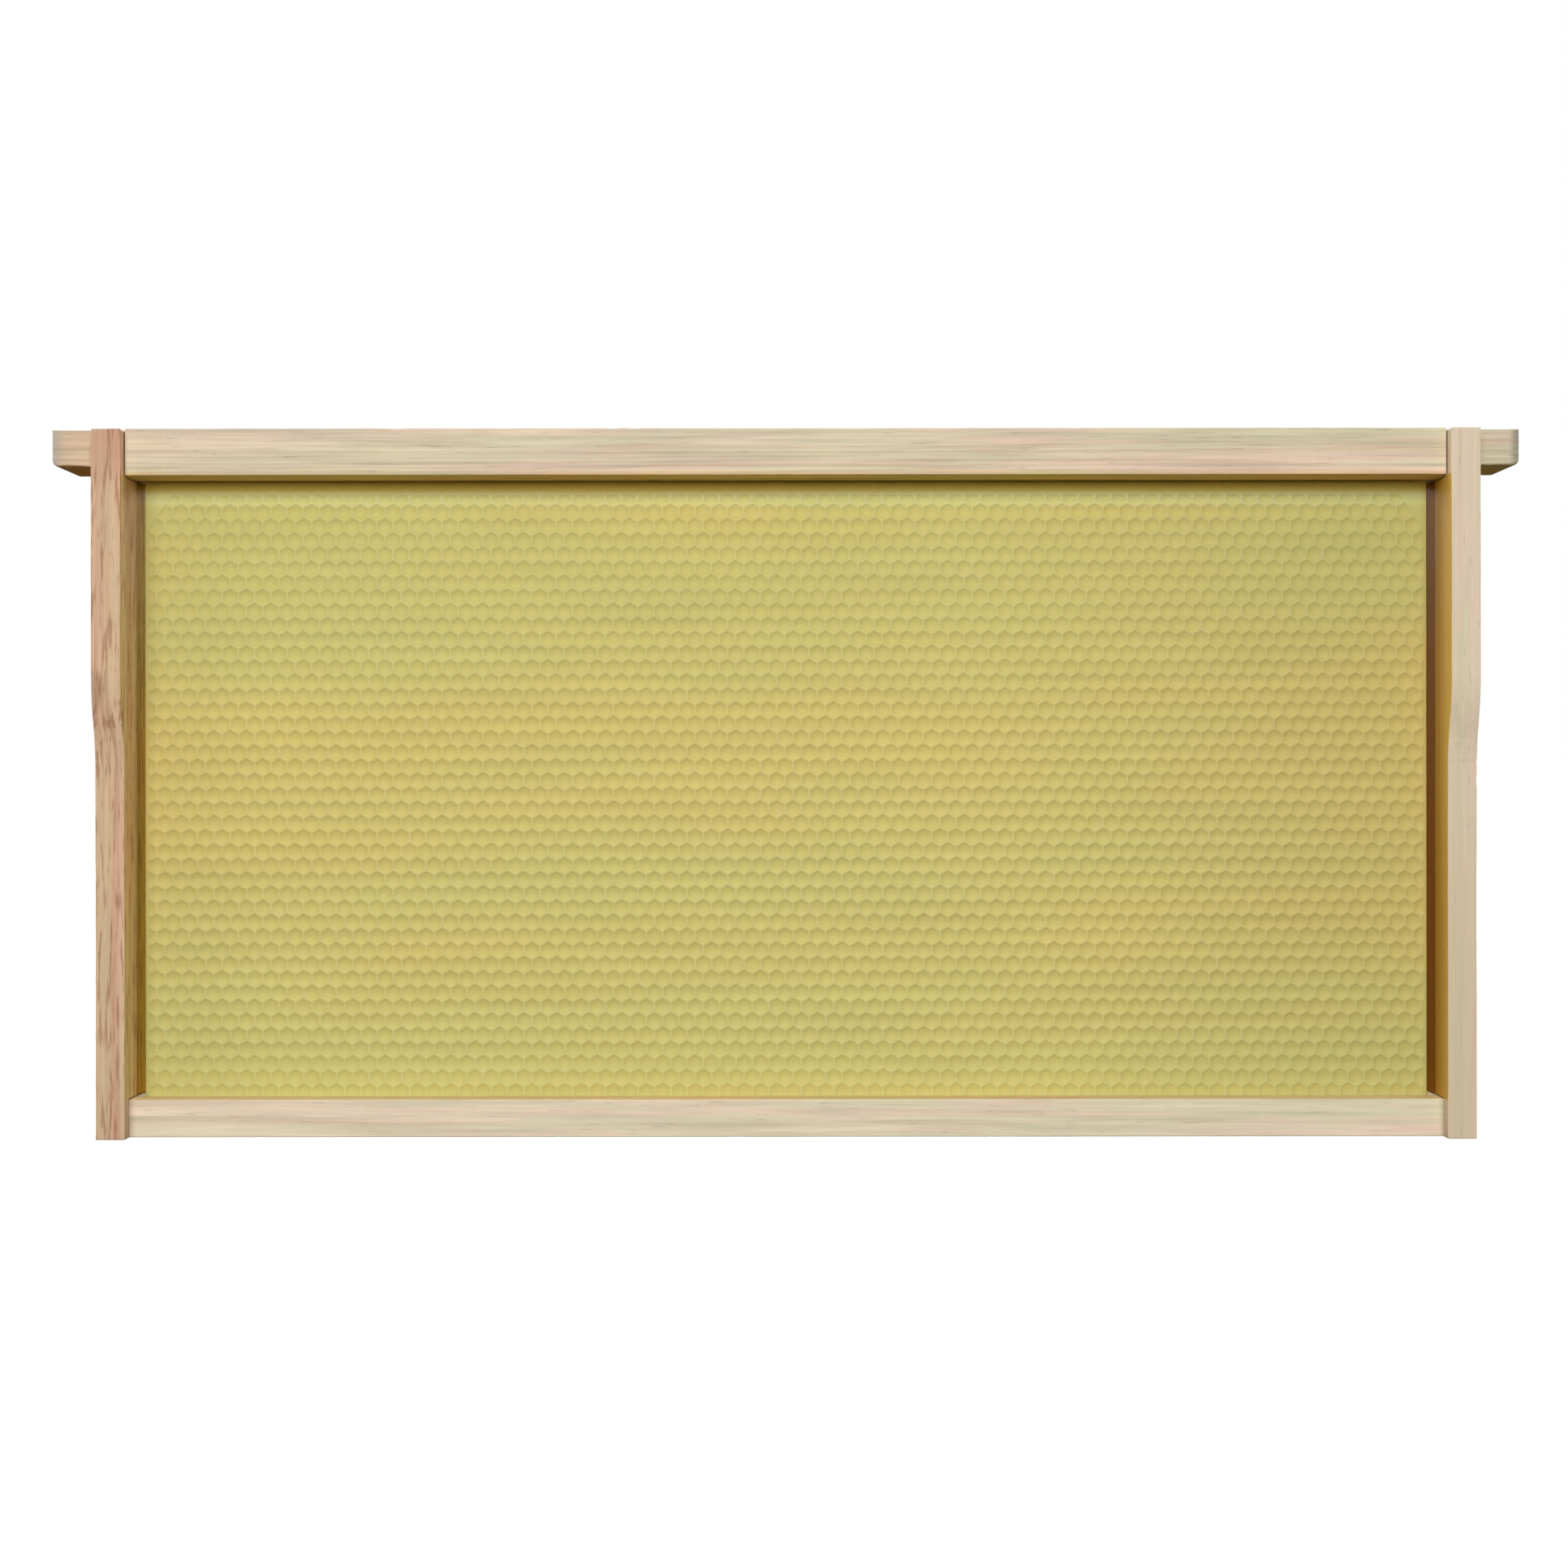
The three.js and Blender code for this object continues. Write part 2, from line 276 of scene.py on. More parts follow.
def wood_material(
    name, axis, pith, spacing, early, late, rosy, green, lines, flecks, streaks, tilt, painted_bounce_and_shade,
    marks_and_painted_light=(), ends=(),
):
    """Sawn softwood. Growth rings are cylinders round a pith that lies outside the bar, so the long faces
    show grain lines and the ends show arcs.

    axis: the grain's direction, X or Z.
    pith, spacing: where the rings' centre is across the grain, and the distance between rings, in mm.
    early, late: the colours of the wood between its rings and in them.
    rosy, green: the colours that it drifts between.
    lines, flecks, streaks: the strengths of rings, short brown streaks, and long pale and dark ones.
    tilt: how far the rings lean from the bar, in radians.
    painted_bounce_and_shade: (direction, outer, inner, middle), the tints of painted yellow bounce light and
    painted shade on the face that looks that way, at its edges, nearer the foundation, and beside it.
    marks_and_painted_light: (place in mm, reach in mm, tint) for each; they hold marks in the wood and
    painted shadow, shade and bounce light.
    ends: the tints of the left and the right lug."""
    n = Nodes(bpy.data.materials.new(name))
    x, y, z = n.split(n.coords())
    log = n.join(y, z, x) if axis == "X" else n.join(x, y, z)
    log = n.place(log, location=(-pith[0] * MM, -pith[1] * MM, 0), rotation=(tilt[0], tilt[1], 0))

    # Growth rings, wavering along the grain and uneven in width
    sway = n.noise(n.place(log, scale=(16, 16, 3.2)), detail=2.0, colour=True)
    sway = n.vector("SUBTRACT", sway, (0.5, 0.5, 0.5))
    bent = n.vector("MULTIPLY_ADD", sway, (3.4 * MM, 3.4 * MM, 0), log)
    bx, by, bz = n.split(bent)
    radius = n.vector("LENGTH", n.join(bx, by, 0.0))
    uneven = n.noise(n.place(bent, scale=(110, 110, 2.2)), detail=2.0)
    age = n.math("MULTIPLY_ADD", uneven, 4.0, n.math("DIVIDE", radius, spacing * MM))
    within = n.math("FRACT", age)
    year = n.random_by(n.math("FLOOR", age))
    dark = n.math("MULTIPLY", n.ramp(within, 0.2, 0.9), n.ramp(within, 1.0, 0.92))
    dark = n.math("MULTIPLY", dark, n.math("MULTIPLY", year, year))
    fade = n.noise(n.place(bent, scale=(90, 90, 9)), detail=1.0)
    dark = n.math("MULTIPLY", dark, n.ramp(fade, 0.3, 0.62, 0.25, 1.0))

    # Soft streaks of colour, fibres, resin canals and short brown flecks
    hue = n.noise(n.place(bent, scale=(210, 210, 9)), detail=2.0, roughness=0.5)
    broad = n.noise(n.place(log, scale=(36, 36, 7)), detail=2.0)
    streak = n.noise(n.place(bent, scale=(520, 520, 17)), detail=2.0, roughness=0.6)
    fibre = n.noise(n.place(bent, scale=(1700, 1700, 34)), detail=3.0, roughness=0.6)
    canal = n.ramp(n.noise(n.place(log, scale=(1500, 1500, 110)), detail=1.0), 0.68, 0.76)
    fleck = n.ramp(n.noise(n.place(bent, scale=(820, 820, 70)), detail=2.0, roughness=0.6), 0.50, 0.66)

    colour = n.mix(n.ramp(hue, 0.39, 0.61), rosy, green)
    colour = n.mix(n.ramp(broad, 0.35, 0.65, 0.1, 0.6), colour, early)
    colour = n.mix(n.math("MULTIPLY", dark, lines), colour, late)
    colour = n.mix(n.math("MULTIPLY", fleck, flecks), colour, late)
    tone = n.math("MULTIPLY_ADD", n.math("SUBTRACT", fibre, 0.5), 0.20, 1.0)
    tone = n.math("MULTIPLY_ADD", n.math("SUBTRACT", streak, 0.5), streaks, tone)
    tone = n.math("MULTIPLY_ADD", canal, -0.16, tone)

    # Ends across the grain are darker and rougher, and show saw lines
    facing = n.vector("DOT_PRODUCT", n.coords("Normal"), (1, 0, 0) if axis == "X" else (0, 0, 1))
    end = n.ramp(n.math("ABSOLUTE", facing), 0.6, 0.9)
    speck = n.noise(n.place(log, scale=(1900, 1900, 300)), detail=2.0, roughness=0.7)
    end_tone = n.math("MULTIPLY_ADD", n.math("SUBTRACT", speck, 0.5), 0.5, 0.8)
    end_tone = n.math("MULTIPLY_ADD", dark, -0.22, end_tone)
    tone = n.math("MULTIPLY_ADD", n.math("SUBTRACT", end_tone, tone), end, tone)
    colour = n.mix(1.0, colour, n.join(tone, tone, tone), "MULTIPLY")
    colour = n.tint(end, colour, (1.0, 0.93, 0.82, 1))
    for place, reach, tint in marks_and_painted_light:
        off = n.vector("SUBTRACT", n.coords(), Vector(place) * MM)
        off = n.vector("LENGTH", n.vector("DIVIDE", off, Vector(reach) * MM))
        amount = n.math("MULTIPLY", n.ramp(off, 1.0, 0.2), n.ramp(streak, 0.3, 0.6, 0.3, 0.8))
        colour = n.tint(amount, colour, (*tint, 1))
    for sign, tint in zip((-1, 1), ends):
        past_side_bar = n.ramp(n.math("MULTIPLY", x, sign), 224 * MM, 229 * MM)
        colour = n.tint(past_side_bar, colour, (*tint, 1))

    # Painted yellow bounce light from the sheet and painted shade on the inner face, which is duller there,
    # and on the side bars only between the top and bottom bars
    direction, outer, inner, middle = painted_bounce_and_shade
    looking = n.ramp(n.vector("DOT_PRODUCT", n.coords("Normal"), direction), 0.35, 0.85)
    if axis == "Z":
        between = n.math("MULTIPLY", n.ramp(z, 12 * MM, 13 * MM), n.ramp(z, 218 * MM, 217 * MM))
        looking = n.math("MULTIPLY", looking, between)
    from_middle = n.math("ABSOLUTE", n.math("SUBTRACT", y, PAINTED_LIGHT_MIDDLE))
    tint = n.mix(n.ramp(from_middle, 6 * MM, 18 * MM), (*inner, 1), (*outer, 1))
    tint = n.mix(n.ramp(from_middle, 4.3 * MM, 5.6 * MM), (*middle, 1), tint)
    colour = n.tint(looking, colour, tint)
    specular = n.math("MULTIPLY_ADD", looking, -0.28, 0.3)

    # Relief: raised late wood, open fibres, planer marks across the grain, saw lines on the ends
    planer = n.math("SINE", n.math("MULTIPLY", bz, 2 * math.pi / (1.9 * MM)))
    planer = n.math("MULTIPLY", planer, n.math("MULTIPLY", broad, 0.16))
    side_relief = n.math("MULTIPLY_ADD", dark, 0.5, n.math("MULTIPLY_ADD", fibre, 0.9, planer))
    side_relief = n.math("MULTIPLY_ADD", canal, -0.7, side_relief)
    saw = n.math("SINE", n.math("MULTIPLY", n.math("MULTIPLY_ADD", by, 0.35, bx), 2 * math.pi / (0.9 * MM)))
    end_relief = n.math("MULTIPLY_ADD", saw, 0.3, n.math("MULTIPLY", speck, 1.6))
    relief = n.math("MULTIPLY_ADD", n.math("SUBTRACT", end_relief, side_relief), end, side_relief)
    rough = n.math("MULTIPLY_ADD", fibre, 0.24, n.math("MULTIPLY_ADD", end, 0.14, 0.5))
    return n.finish(colour, rough, n.bump(relief, 0.11 * MM, 0.6), specular)


def round_lugs(bm, radius):
    """Rounds the edges of the top bar's two lugs, except round their upper face."""
    body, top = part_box("side_bar_right")[1].x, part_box("top_bar")[1].z
    edges = []
    for edge in bm.edges:
        reach = [abs(vert.co.x) for vert in edge.verts]
        height = min(vert.co.z for vert in edge.verts)
        crisp = len(edge.link_faces) == 2 and edge.calc_face_angle(0) > CRISP
        if crisp and min(reach) > body - 0.1 * MM and max(reach) > body + 4 * MM and height < top - 1 * MM:
            edges.append(edge)
    bmesh.ops.bevel(
        bm, geom=edges, offset=radius, offset_type="OFFSET", segments=4, profile=0.5, affect="EDGES",
    )


def in_shoulder(edge):
    """Whether the edge is in a side bar's curved shoulder, which is made of many short flats."""
    return all(SHOULDER[0] < vert.co.z < SHOULDER[1] for vert in edge.verts)


def eased_edges(bm, width):
    """Rounds the long crisp edges, as a sander does, and marks the new faces. Nail holes stay as cut."""
    mark = bm.faces.layers.int.new("eased")
    sharp = [
        edge for edge in bm.edges
        if len(edge.link_faces) == 2
        and edge.calc_face_angle(0) > CRISP
        and (edge.calc_length() > SHORTEST_EASED or in_shoulder(edge))
    ]
    bevel = bmesh.ops.bevel(
        bm, geom=sharp, offset=width, offset_type="OFFSET", segments=3, profile=0.5,
        affect="EDGES", clamp_overlap=False, miter_outer="SHARP", miter_inner="SHARP",
    )
    for face in bevel["faces"]:
        face[mark] = 1
    return mark


def worn(bm, mark, axis, step, seed, box):
    """Cuts the bar into short stations along its grain, then lets its faces wander slightly and its edges
    chip. Points only move inwards, and stay in the given box, so the bar keeps its size."""
    way = Vector((1, 0, 0)) if axis == "X" else Vector((0, 0, 1))
    places = [vert.co.dot(way) for vert in bm.verts]
    start, stop = min(places), max(places)
    count = round((stop - start) / step)
    for index in range(1, count):
        at = start + (stop - start) * (index + 0.3 * math.sin(index * 2.7)) / count
        whole = bm.verts[:] + bm.edges[:] + bm.faces[:]
        bmesh.ops.bisect_plane(bm, geom=whole, dist=1e-7, plane_co=way * at, plane_no=way)
    bm.normal_update()
    shift = Vector((seed * 3.1, seed * 1.7, seed * 0.9))
    moves = []
    for vert in bm.verts:
        wander = 0.5 + 0.5 * noise.noise(vert.co * 14 + shift)
        depth = 0.10 * MM * wander
        if any(face[mark] for face in vert.link_faces):
            depth += 0.06 * MM * abs(noise.noise(vert.co * 160 + shift))
            chip = noise.noise(vert.co * 420 + shift) + 0.5 * noise.noise(vert.co * 60 - shift)
            depth += 0.55 * MM * max(0.0, chip - 0.52)
        moves.append((vert, vert.normal * -depth))
    low, high = box
    for vert, move in moves:
        vert.co = [min(max(at, least), most) for at, least, most in zip(vert.co + move, low, high)]


def wood_bar(node, name, axis, material, seed):
    """A wood bar made from its CAD solid, with eased, slightly worn edges. seed varies the wear."""
    bm = bmesh.new()
    bm.from_mesh(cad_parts[node].data)
    bmesh.ops.remove_doubles(bm, verts=bm.verts, dist=0.002 * MM)
    bmesh.ops.dissolve_limit(bm, angle_limit=math.radians(0.6), verts=bm.verts[:], edges=bm.edges[:])
    if node == "top_bar":
        round_lugs(bm, LUG_ROUNDING)
    mark = eased_edges(bm, EASE)
    worn(bm, mark, axis, STATION, seed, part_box(node))
    for face in bm.faces:
        face.smooth = True
    bar = add_object(name, bm, material, 40)
    bar.modifiers.new("flat_faces", "WEIGHTED_NORMAL").keep_sharp = True
    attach(bar, "root")
    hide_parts(node)


wood_bar(
    "top_bar", "top_bar_wood", "X",
    wood_material(
        "pine_top_bar", "X", (46, 96), 1.9, early=rgb(224, 208, 180), late=rgb(200, 168, 130),
        rosy=rgb(230, 203, 181), green=rgb(211, 204, 173), lines=0.5, flecks=0.15, streaks=0.75,
        tilt=(0.004, 0.003),
        # the underside: painted yellow bounce light from the sheet, and painted shade next to it
        painted_bounce_and_shade=((0, 0, -1), (0.98, 0.9, 0.64), (1.0, 0.86, 0.45), (1.0, 0.84, 0.36)),
        ends=((0.90, 0.81, 0.77), (0.86, 0.89, 0.89)),
        marks_and_painted_light=(
            ((-226, -11, 226), (3.5, 8, 12), (0.55, 0.5, 0.48)),  # painted shadow of the side bar where the left lug leaves it
            ((-241.3, -11, 227), (5, 12, 30), (0.67, 0.8, 1.0)),  # painted shade on the two lugs' tips
            ((241.3, -11, 227), (4, 12, 30), (0.3, 0.32, 0.38)),
            ((0, -14, 217.3), (2000, 4, 2.4), (0.9, 0.78, 0.5)),  # painted yellow bounce light from the sheet on the front face's lower edge
        ),
    ),
    1.0,
)
wood_bar(
    "side_bar_left", "side_bar_left_wood", "Z",
    wood_material(
        "pine_side_bar_left", "Z", (-90, -70), 1.7, early=rgb(220, 190, 154), late=rgb(166, 114, 85),
        rosy=rgb(213, 167, 140), green=rgb(212, 185, 149), lines=0.6, flecks=0.7, streaks=0.45,
        tilt=(0.006, -0.004),
        # the inner face: painted light near the sheet, and painted shade where it shows through the gap
        # behind the sheet
        painted_bounce_and_shade=((1, 0, 0), (1.0, 1.0, 0.76), (1.14, 1.22, 0.85), (1.06, 0.94, 0.18)),
        marks_and_painted_light=(
            # darker end grain, and painted shade where the shoulder curves to face down
            ((-225.5, -15.5, 147.5), (6, 20, 10), (0.62, 0.58, 0.52)),
            ((-221.5, -17.5, 226), (12, 10, 16), (0.85, 0.72, 0.75)),
        ),
    ),
    2.0,
)
wood_bar(
    "side_bar_right", "side_bar_right_wood", "Z",
    wood_material(
        "pine_side_bar_right", "Z", (60, 110), 2.3, early=rgb(223, 207, 179), late=rgb(200, 174, 141),
        rosy=rgb(227, 203, 182), green=rgb(214, 205, 173), lines=0.4, flecks=0.05, streaks=0.25,
        tilt=(-0.004, 0.002),
        # the inner face: painted yellow bounce light and painted shade, darkest where it shows through the
        # gap behind the sheet
        painted_bounce_and_shade=((-1, 0, 0), (1.0, 0.77, 0.26), (0.74, 0.47, 0.09), (0.54, 0.25, 0.025)),
        marks_and_painted_light=(((221.4, -13.7, 40), (30, 30, 110), (0.9, 0.88, 0.82)),),
    ),
    3.0,
)
wood_bar(
    "bottom_bar", "bottom_bar_wood", "X",
    wood_material(
        "pine_bottom_bar", "X", (70, -60), 2.1, early=rgb(233, 218, 190), late=rgb(210, 183, 147),
        rosy=rgb(238, 210, 189), green=rgb(223, 216, 185), lines=0.6, flecks=0.15, streaks=0.6,
        tilt=(-0.003, 0.004),
        # the upper face: painted shade and painted yellow bounce light from the sheet
        painted_bounce_and_shade=((0, 0, 1), (0.97, 0.91, 0.74), (0.95, 0.88, 0.64), (0.92, 0.83, 0.52)),
    ),
    4.0,
)


# ---------------------------------------------------------------- foundation

SHEET_LOW, SHEET_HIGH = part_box("foundation")
CELL_WIDTH = 5.448 * MM  # from wall to wall
CELL_SIDE = CELL_WIDTH / math.sqrt(3)
ROW_PITCH = CELL_SIDE * 1.5
WALL_TOP = SHEET_HIGH.y - 0.2 * MM  # the tips of the cell walls
RIM_FACE = 0.9 * MM
WEB = 1.1 * MM  # thickness of the sheet between the two faces' cells
RELIEF = 0.28 * MM  # how far each cell's base dips below and rises above the middle
WALL_FOOT = 1.2  # across the wall from its tip to its foot in mm
WALL_STEPS = ((0.62, 0.5), (0.28, 0.87))  # across from the tip in mm, and the share of the height there
BORDER_SLOPE = 0.5 * MM  # how far the cells' border runs out as it falls to the rim
FIRST_CELL = Vector((-0.41, -0.3)) * MM  # the middle of the front cell nearest the origin, in X and Z
SIDE_RIM = 1.5 * MM  # plain strips beside the cells
TOP_RIM = 5 * MM  # the plain strip that shows under the top bar
FIELD_CLIP = 1.0 * MM  # at the cells' two lower corners
CORNER_ACROSS, CORNER_DOWN = 8 * MM, 11 * MM  # the plain triangles at their two upper corners
SHEET_CLIP = 2.5 * MM
RIM_LIP = 0.15 * MM  # how far the rim's edge is eased
LIP_ACROSS = 0.0012  # how far in the easing starts at the sides, as a share of the half width


def field_outline():
    """The cells' border, as corners in X and Z, inside the plain strips and the plain upper corners."""
    left, right, low = SHEET_LOW.x + SIDE_RIM, SHEET_HIGH.x - SIDE_RIM, SHEET_LOW.z
    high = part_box("top_bar")[0].z - TOP_RIM
    return [
        (left + FIELD_CLIP, low), (right - FIELD_CLIP, low), (right, low + FIELD_CLIP),
        (right, high - CORNER_DOWN), (right - CORNER_ACROSS, high),
        (left + CORNER_ACROSS, high), (left, high - CORNER_DOWN), (left, low + FIELD_CLIP),
    ]


def widened(x, z):
    """A point of the cells' border, moved out to where the border meets the rim. The foot stays in place."""
    half, tall = SHEET_HIGH.x - SIDE_RIM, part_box("top_bar")[0].z - TOP_RIM - SHEET_LOW.z
    return x * (1 + BORDER_SLOPE / half), SHEET_LOW.z + (z - SHEET_LOW.z) * (1 + BORDER_SLOPE / tall)


def sheet_outline():
    """The sheet's edge, as corners in X and Z, with its corners clipped."""
    x0, x1, z0, z1 = SHEET_LOW.x, SHEET_HIGH.x, SHEET_LOW.z, SHEET_HIGH.z
    return [
        (x0 + SHEET_CLIP, z0), (x1 - SHEET_CLIP, z0), (x1, z0 + SHEET_CLIP), (x1, z1 - SHEET_CLIP),
        (x1 - SHEET_CLIP, z1), (x0 + SHEET_CLIP, z1), (x0, z1 - SHEET_CLIP), (x0, z0 + SHEET_CLIP),
    ]


def cell_field(face):
    """The embossed cells of one face, as points and quads. face is -1 for the front and +1 for the back.

    Each cell's base is three rhombs that meet at its middle. They share their edges with the other face's
    cells, so the back's cell middles are where three of the front's walls meet."""
    rng = random.Random(7 + face)
    points, quads = [], []
    corners = {}
    # The corner straight below a front cell is a back cell's middle.
    origin = FIRST_CELL if face < 0 else FIRST_CELL + Vector((0, -CELL_SIDE))
    peaks = (-90, 30, 150) if face < 0 else (90, 210, 330)
    angles = [90, 30, -30, -90, -150, 150]
    is_peak = [any(abs((angle - peak + 180) % 360 - 180) < 1 for peak in peaks) for angle in angles]

    def shared_corner(x, z):
        key = (round(x / (0.1 * MM)), round(z / (0.1 * MM)))
        for near in [(key[0] + i, key[1] + j) for i in (0, -1, 1) for j in (0, -1, 1)]:
            if near in corners:
                return corners[near]
        points.append((x, face * (WALL_TOP - rng.uniform(0, 0.07) * MM), z))
        corners[key] = len(points) - 1
        return corners[key]

    first_row = math.floor((SHEET_LOW.z - origin.y) / ROW_PITCH) - 1
    last_row = math.ceil((SHEET_HIGH.z - origin.y) / ROW_PITCH) + 1
    half_count = math.ceil(SHEET_HIGH.x / CELL_WIDTH) + 2
    for row in range(first_row, last_row):
        for column in range(-half_count, half_count):
            x = origin.x + (column + 0.5 * (row % 2)) * CELL_WIDTH
            z = origin.y + row * ROW_PITCH
            wax = rng.uniform(0, 0.12) * MM
            points.append((x, face * (WEB / 2 - RELIEF + wax), z))
            middle = len(points) - 1
            rings = [[], [], [], []]
            for angle, peak in zip(angles, is_peak):
                dx, dz = math.cos(math.radians(angle)), math.sin(math.radians(angle))
                reach = CELL_SIDE - (WALL_FOOT + rng.uniform(-0.06, 0.06)) * MM
                foot = WEB / 2 - RELIEF + RELIEF * (2 if peak else 1) * reach / CELL_SIDE + wax * 0.4
                points.append((x + dx * reach, face * foot, z + dz * reach))
                rings[0].append(len(points) - 1)
                for ring, (inset, share) in zip(rings[1:], WALL_STEPS):
                    reach = CELL_SIDE - inset * MM
                    height = foot + (WALL_TOP - foot) * share
                    points.append((x + dx * reach, face * height, z + dz * reach))
                    ring.append(len(points) - 1)
                rings[3].append(shared_corner(x + dx * CELL_SIDE, z + dz * CELL_SIDE))
            for index in range(6):
                after = (index + 1) % 6
                for ring, above in zip(rings, rings[1:]):
                    quads.append((ring[index], ring[after], above[after], above[index]))
                if is_peak[index]:
                    quads.append((middle, rings[0][index - 1], rings[0][index], rings[0][after]))
    if face < 0:
        return points, quads
    return points, [tuple(reversed(quad)) for quad in quads]


def foundation_half(name, face, material):
    """One face of the sheet: its cells cut off along their border, a skirt down to the rim, and the rim."""
    points, quads = cell_field(face)
    bm = bmesh.new()
    verts = [bm.verts.new(point) for point in points]
    for quad in quads:
        bm.faces.new([verts[index] for index in quad]).smooth = True
    outline = field_outline()
    for (x0, z0), (x1, z1) in zip(outline, outline[1:] + outline[:1]):
        outwards = Vector((z1 - z0, 0, x0 - x1)).normalized()
        bmesh.ops.bisect_plane(
            bm, geom=bm.verts[:] + bm.edges[:] + bm.faces[:], dist=1e-7,
            plane_co=Vector((x0, 0, z0)), plane_no=outwards, clear_outer=True,
        )
    border = [edge for edge in bm.edges if edge.is_boundary]
    skirt = bmesh.ops.extrude_edge_only(bm, edges=border)["geom"]
    for item in skirt:
        if isinstance(item, bmesh.types.BMVert):
            x, z = widened(item.co.x, item.co.z)
            item.co = (x, face * RIM_FACE, z)
        if isinstance(item, bmesh.types.BMFace):
            item.smooth = False

    # The rim: a flat band from the cells' border to the sheet's edge, with the edge turned in to the middle
    edge_loop = sheet_outline()
    inner = [bm.verts.new((x, face * RIM_FACE, z)) for x, z in (widened(x, z) for x, z in outline)]
    outer = [bm.verts.new((x, face * (RIM_FACE - RIM_LIP), z)) for x, z in edge_loop]
    middle = (SHEET_LOW.z + SHEET_HIGH.z) / 2
    lip = [
        bm.verts.new((x * (1 - LIP_ACROSS), face * RIM_FACE, z + (RIM_LIP if z < middle else -RIM_LIP)))
        for x, z in edge_loop
    ]
    centre = [bm.verts.new((x, 0, z)) for x, z in edge_loop]
    for index in range(len(edge_loop)):
        after = (index + 1) % len(edge_loop)
        for near, far in ((inner, lip), (lip, outer), (outer, centre)):
            corners = [near[index], near[after], far[after], far[index]]
            bm.faces.new(corners if face > 0 else corners[::-1])
    bmesh.ops.recalc_face_normals(bm, faces=bm.faces[:])
    half = add_object(name, bm, material, 65)
    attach(half, "root")
    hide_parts("foundation")


def foundation_material():
    """Yellow moulded plastic under a thin brushed-on coat of beeswax."""
    n = Nodes(bpy.data.materials.new("waxed_foundation"))
    place = n.coords()
    x, y, z = n.split(place)
    depth = n.math("DIVIDE", n.math("ABSOLUTE", y), WALL_TOP)  # 1 at the wall tips, near 0 in the bases

    patches = n.noise(n.place(place, scale=(3, 3, 17)), detail=3.0, roughness=0.6)
    brushed = n.noise(n.place(place, scale=(14, 60, 190)), detail=2.0, roughness=0.6)
    blotch = n.noise(place, scale=170, detail=3.0, roughness=0.6)
    grain = n.noise(place, scale=1400, detail=3.0, roughness=0.65)

    from_middle = n.math("ABSOLUTE", n.math("SUBTRACT", z, 110 * MM))
    amber = n.math("MULTIPLY_ADD", n.ramp(from_middle, 95 * MM, 15 * MM), 0.16, patches)
    colour = n.mix(n.ramp(amber, 0.43, 0.77), rgb(207, 201, 123), rgb(218, 198, 117))
    colour = n.mix(n.ramp(blotch, 0.5, 0.72, 0.0, 0.35), colour, rgb(221, 205, 138))
    colour = n.mix(n.ramp(depth, 0.8, 0.4, 0.0, 0.4), colour, rgb(210, 195, 110))
    colour = n.mix(n.ramp(depth, 0.84, 0.98, 0.0, 0.35), colour, rgb(220, 208, 138))
    tone = n.math("MULTIPLY_ADD", n.math("SUBTRACT", brushed, 0.5), 0.16, 1.0)
    tone = n.math("MULTIPLY_ADD", n.math("SUBTRACT", grain, 0.5), 0.12, tone)
    # Painted shade darkens it towards its ends, painted light makes it paler near the top, and painted shade
    # browns it under the top bar
    tone = n.math("MULTIPLY", tone, n.ramp(x, 60 * MM, 225 * MM, 1.0, 0.86))
    tone = n.math("MULTIPLY", tone, n.ramp(x, -165 * MM, -215 * MM, 1.0, 0.92))
    colour = n.mix(1.0, colour, n.join(tone, tone, tone), "MULTIPLY")
    # painted light: paler near the top, lifting part of the top bar's shadow on the plain rim
    colour = n.tint(n.ramp(z, 208 * MM, 211 * MM), colour, (1.07, 1.15, 1.36, 1))
    # painted shade: brown where the top bar's shadow falls on the sheet
    colour = n.tint(n.ramp(z, 212.6 * MM, 215.4 * MM), colour, (0.88, 0.68, 0.3, 1))

    relief = n.math("MULTIPLY_ADD", blotch, 1.2, n.math("MULTIPLY", grain, 0.35))
    rough = n.math("MULTIPLY_ADD", blotch, 0.3, 0.46)
    return n.finish(colour, rough, n.bump(relief, 0.12 * MM, 0.8), specular=0.25)


waxed = foundation_material()
foundation_half("foundation_front", -1, waxed)
foundation_half("foundation_back", 1, waxed)


# ---------------------------------------------------------------- nails

CHECKER = 0.5 * MM  # pitch of the pattern on a nail's head
NAIL_SIDES = 28


def nail_material():
    """Wire that was bright and has dulled a little."""
    n = Nodes(bpy.data.materials.new("bright_nail"))
    place = n.coords()
    mottle = n.noise(place, scale=900, detail=3.0, roughness=0.6)
    scratch = n.noise(n.place(place, scale=(4000, 900, 900)), detail=2.0)
    colour = n.mix(n.ramp(mottle, 0.4, 0.65), rgb(176, 178, 178), rgb(128, 126, 122))
    rough = n.math("MULTIPLY_ADD", scratch, 0.25, 0.42)
    material = n.finish(colour, rough, n.bump(scratch, 0.02 * MM, 0.6), specular=0.5)
    n.shader.inputs["Metallic"].default_value = 1.0
    return material


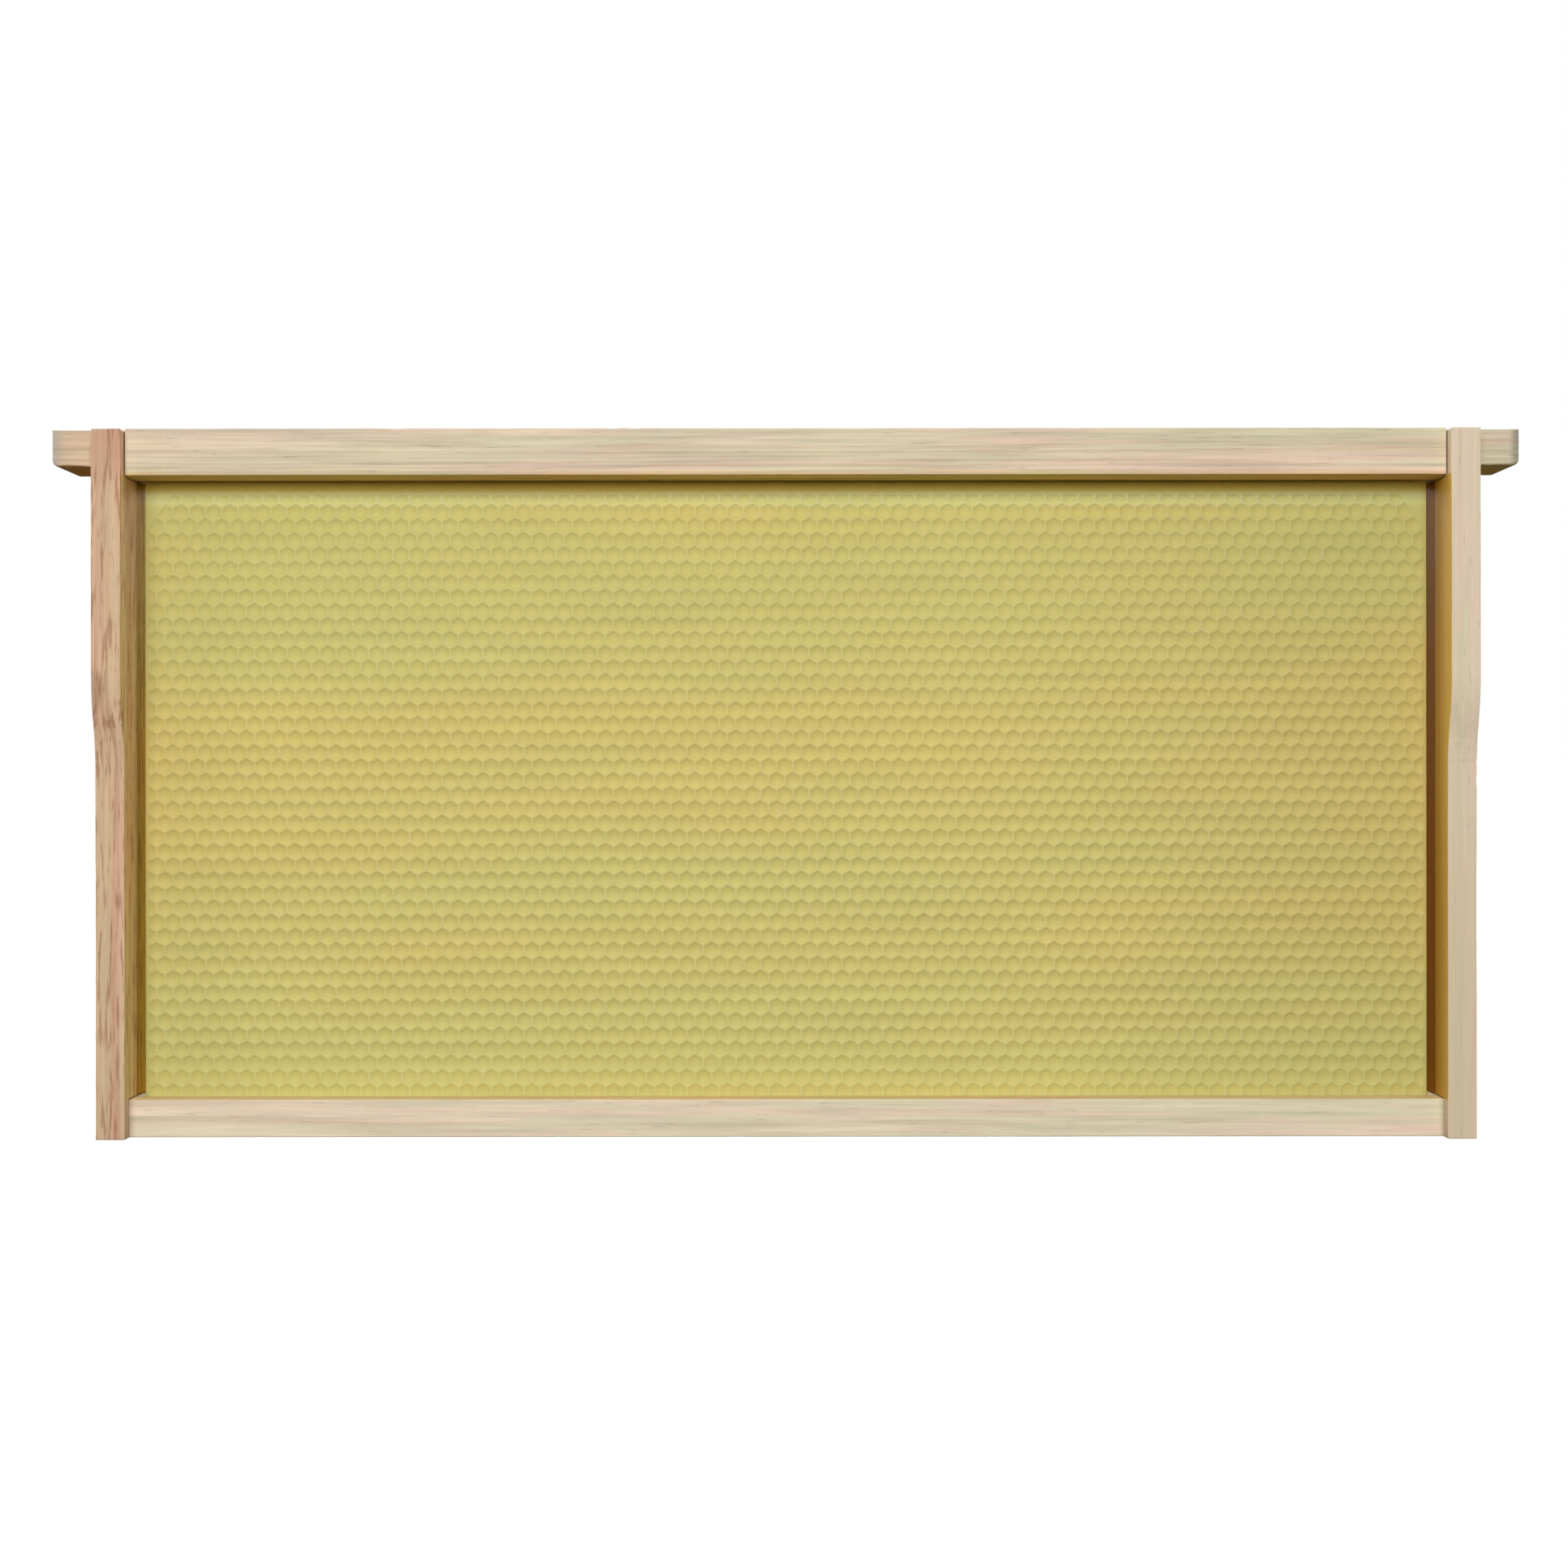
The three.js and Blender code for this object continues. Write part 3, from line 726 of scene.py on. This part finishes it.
def nail(node, toward_head, material, seed):
    """A wire nail with a checkered head, sunk a hair below the wood.
    toward_head points from its tip to its head, and seed varies its turn and depth."""
    low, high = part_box(node)
    centre, size = (low + high) / 2, high - low
    length = max(size)
    head_radius = min(size) / 2
    shank = head_radius * 0.48
    rng = random.Random(seed)
    sunk = rng.uniform(0.08, 0.2) * MM
    turn = rng.uniform(0, math.pi)

    bm = bmesh.new()
    # Rings from the head's middle outwards, over its rim, down the shank and to the point
    profile = [(head_radius * f, -0.03 * MM * f * f) for f in (0.1, 0.22, 0.34, 0.46, 0.58, 0.7, 0.82, 0.92)]
    profile += [(head_radius * 0.985, -0.10 * MM), (head_radius, -0.2 * MM), (head_radius * 0.97, -0.38 * MM)]
    profile += [(shank * 1.25, -0.58 * MM), (shank, -0.9 * MM)]
    for groove in range(4):
        deep = -(1.6 + groove * 0.8) * MM
        profile += [(shank, deep), (shank * 0.88, deep - 0.15 * MM), (shank, deep - 0.3 * MM)]
    profile += [(shank, -length + 2.4 * MM), (shank * 0.55, -length + 1.1 * MM), (0.03 * MM, -length)]
    rings = []
    for index, (radius, height) in enumerate(profile):
        ring = []
        for step in range(NAIL_SIDES):
            angle = 2 * math.pi * step / NAIL_SIDES
            u, v = radius * math.cos(angle), radius * math.sin(angle)
            raised = 0.0
            if index < 7:
                across = abs(math.sin((u + 0.2 * MM) * math.pi / CHECKER))
                along = abs(math.sin((v + 0.2 * MM) * math.pi / CHECKER))
                raised = -0.05 * MM * (1 - min(1, across * along * 2.2))
            ring.append(bm.verts.new((u, v, height + raised)))
        rings.append(ring)
    top = bm.verts.new((0, 0, -0.01 * MM))
    tip = bm.verts.new((0, 0, -length))
    for step in range(NAIL_SIDES):
        after = (step + 1) % NAIL_SIDES
        bm.faces.new((top, rings[0][step], rings[0][after]))
        bm.faces.new((tip, rings[-1][after], rings[-1][step]))
        for ring, below in zip(rings, rings[1:]):
            bm.faces.new((ring[step], below[step], below[after], ring[after]))
    for face in bm.faces:
        face.smooth = True
    way = Vector(toward_head)
    head = centre + way * (length / 2 - sunk)
    lie = way.to_track_quat("Z", "Y").to_matrix().to_4x4()
    # The tip stays inside the CAD nail's length.
    squeeze = Matrix.Scale((length - sunk) / length, 4, (0, 0, 1))
    pose = Matrix.Translation(head) @ lie @ Matrix.Rotation(turn, 4, "Z") @ squeeze
    bmesh.ops.transform(bm, matrix=pose, verts=bm.verts)
    piece = add_object(node + "_wire", bm, material, 45)
    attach(piece, "root")
    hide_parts(node)


steel = nail_material()
for number, node in enumerate(sorted(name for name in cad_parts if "nail" in name)):
    if node.startswith("top_bar"):
        way = (0, 0, 1)
    elif node.startswith("bottom_bar"):
        way = (0, 0, -1)
    else:
        way = (0, 1, 0)
    nail(node, way, steel, 100 + number)
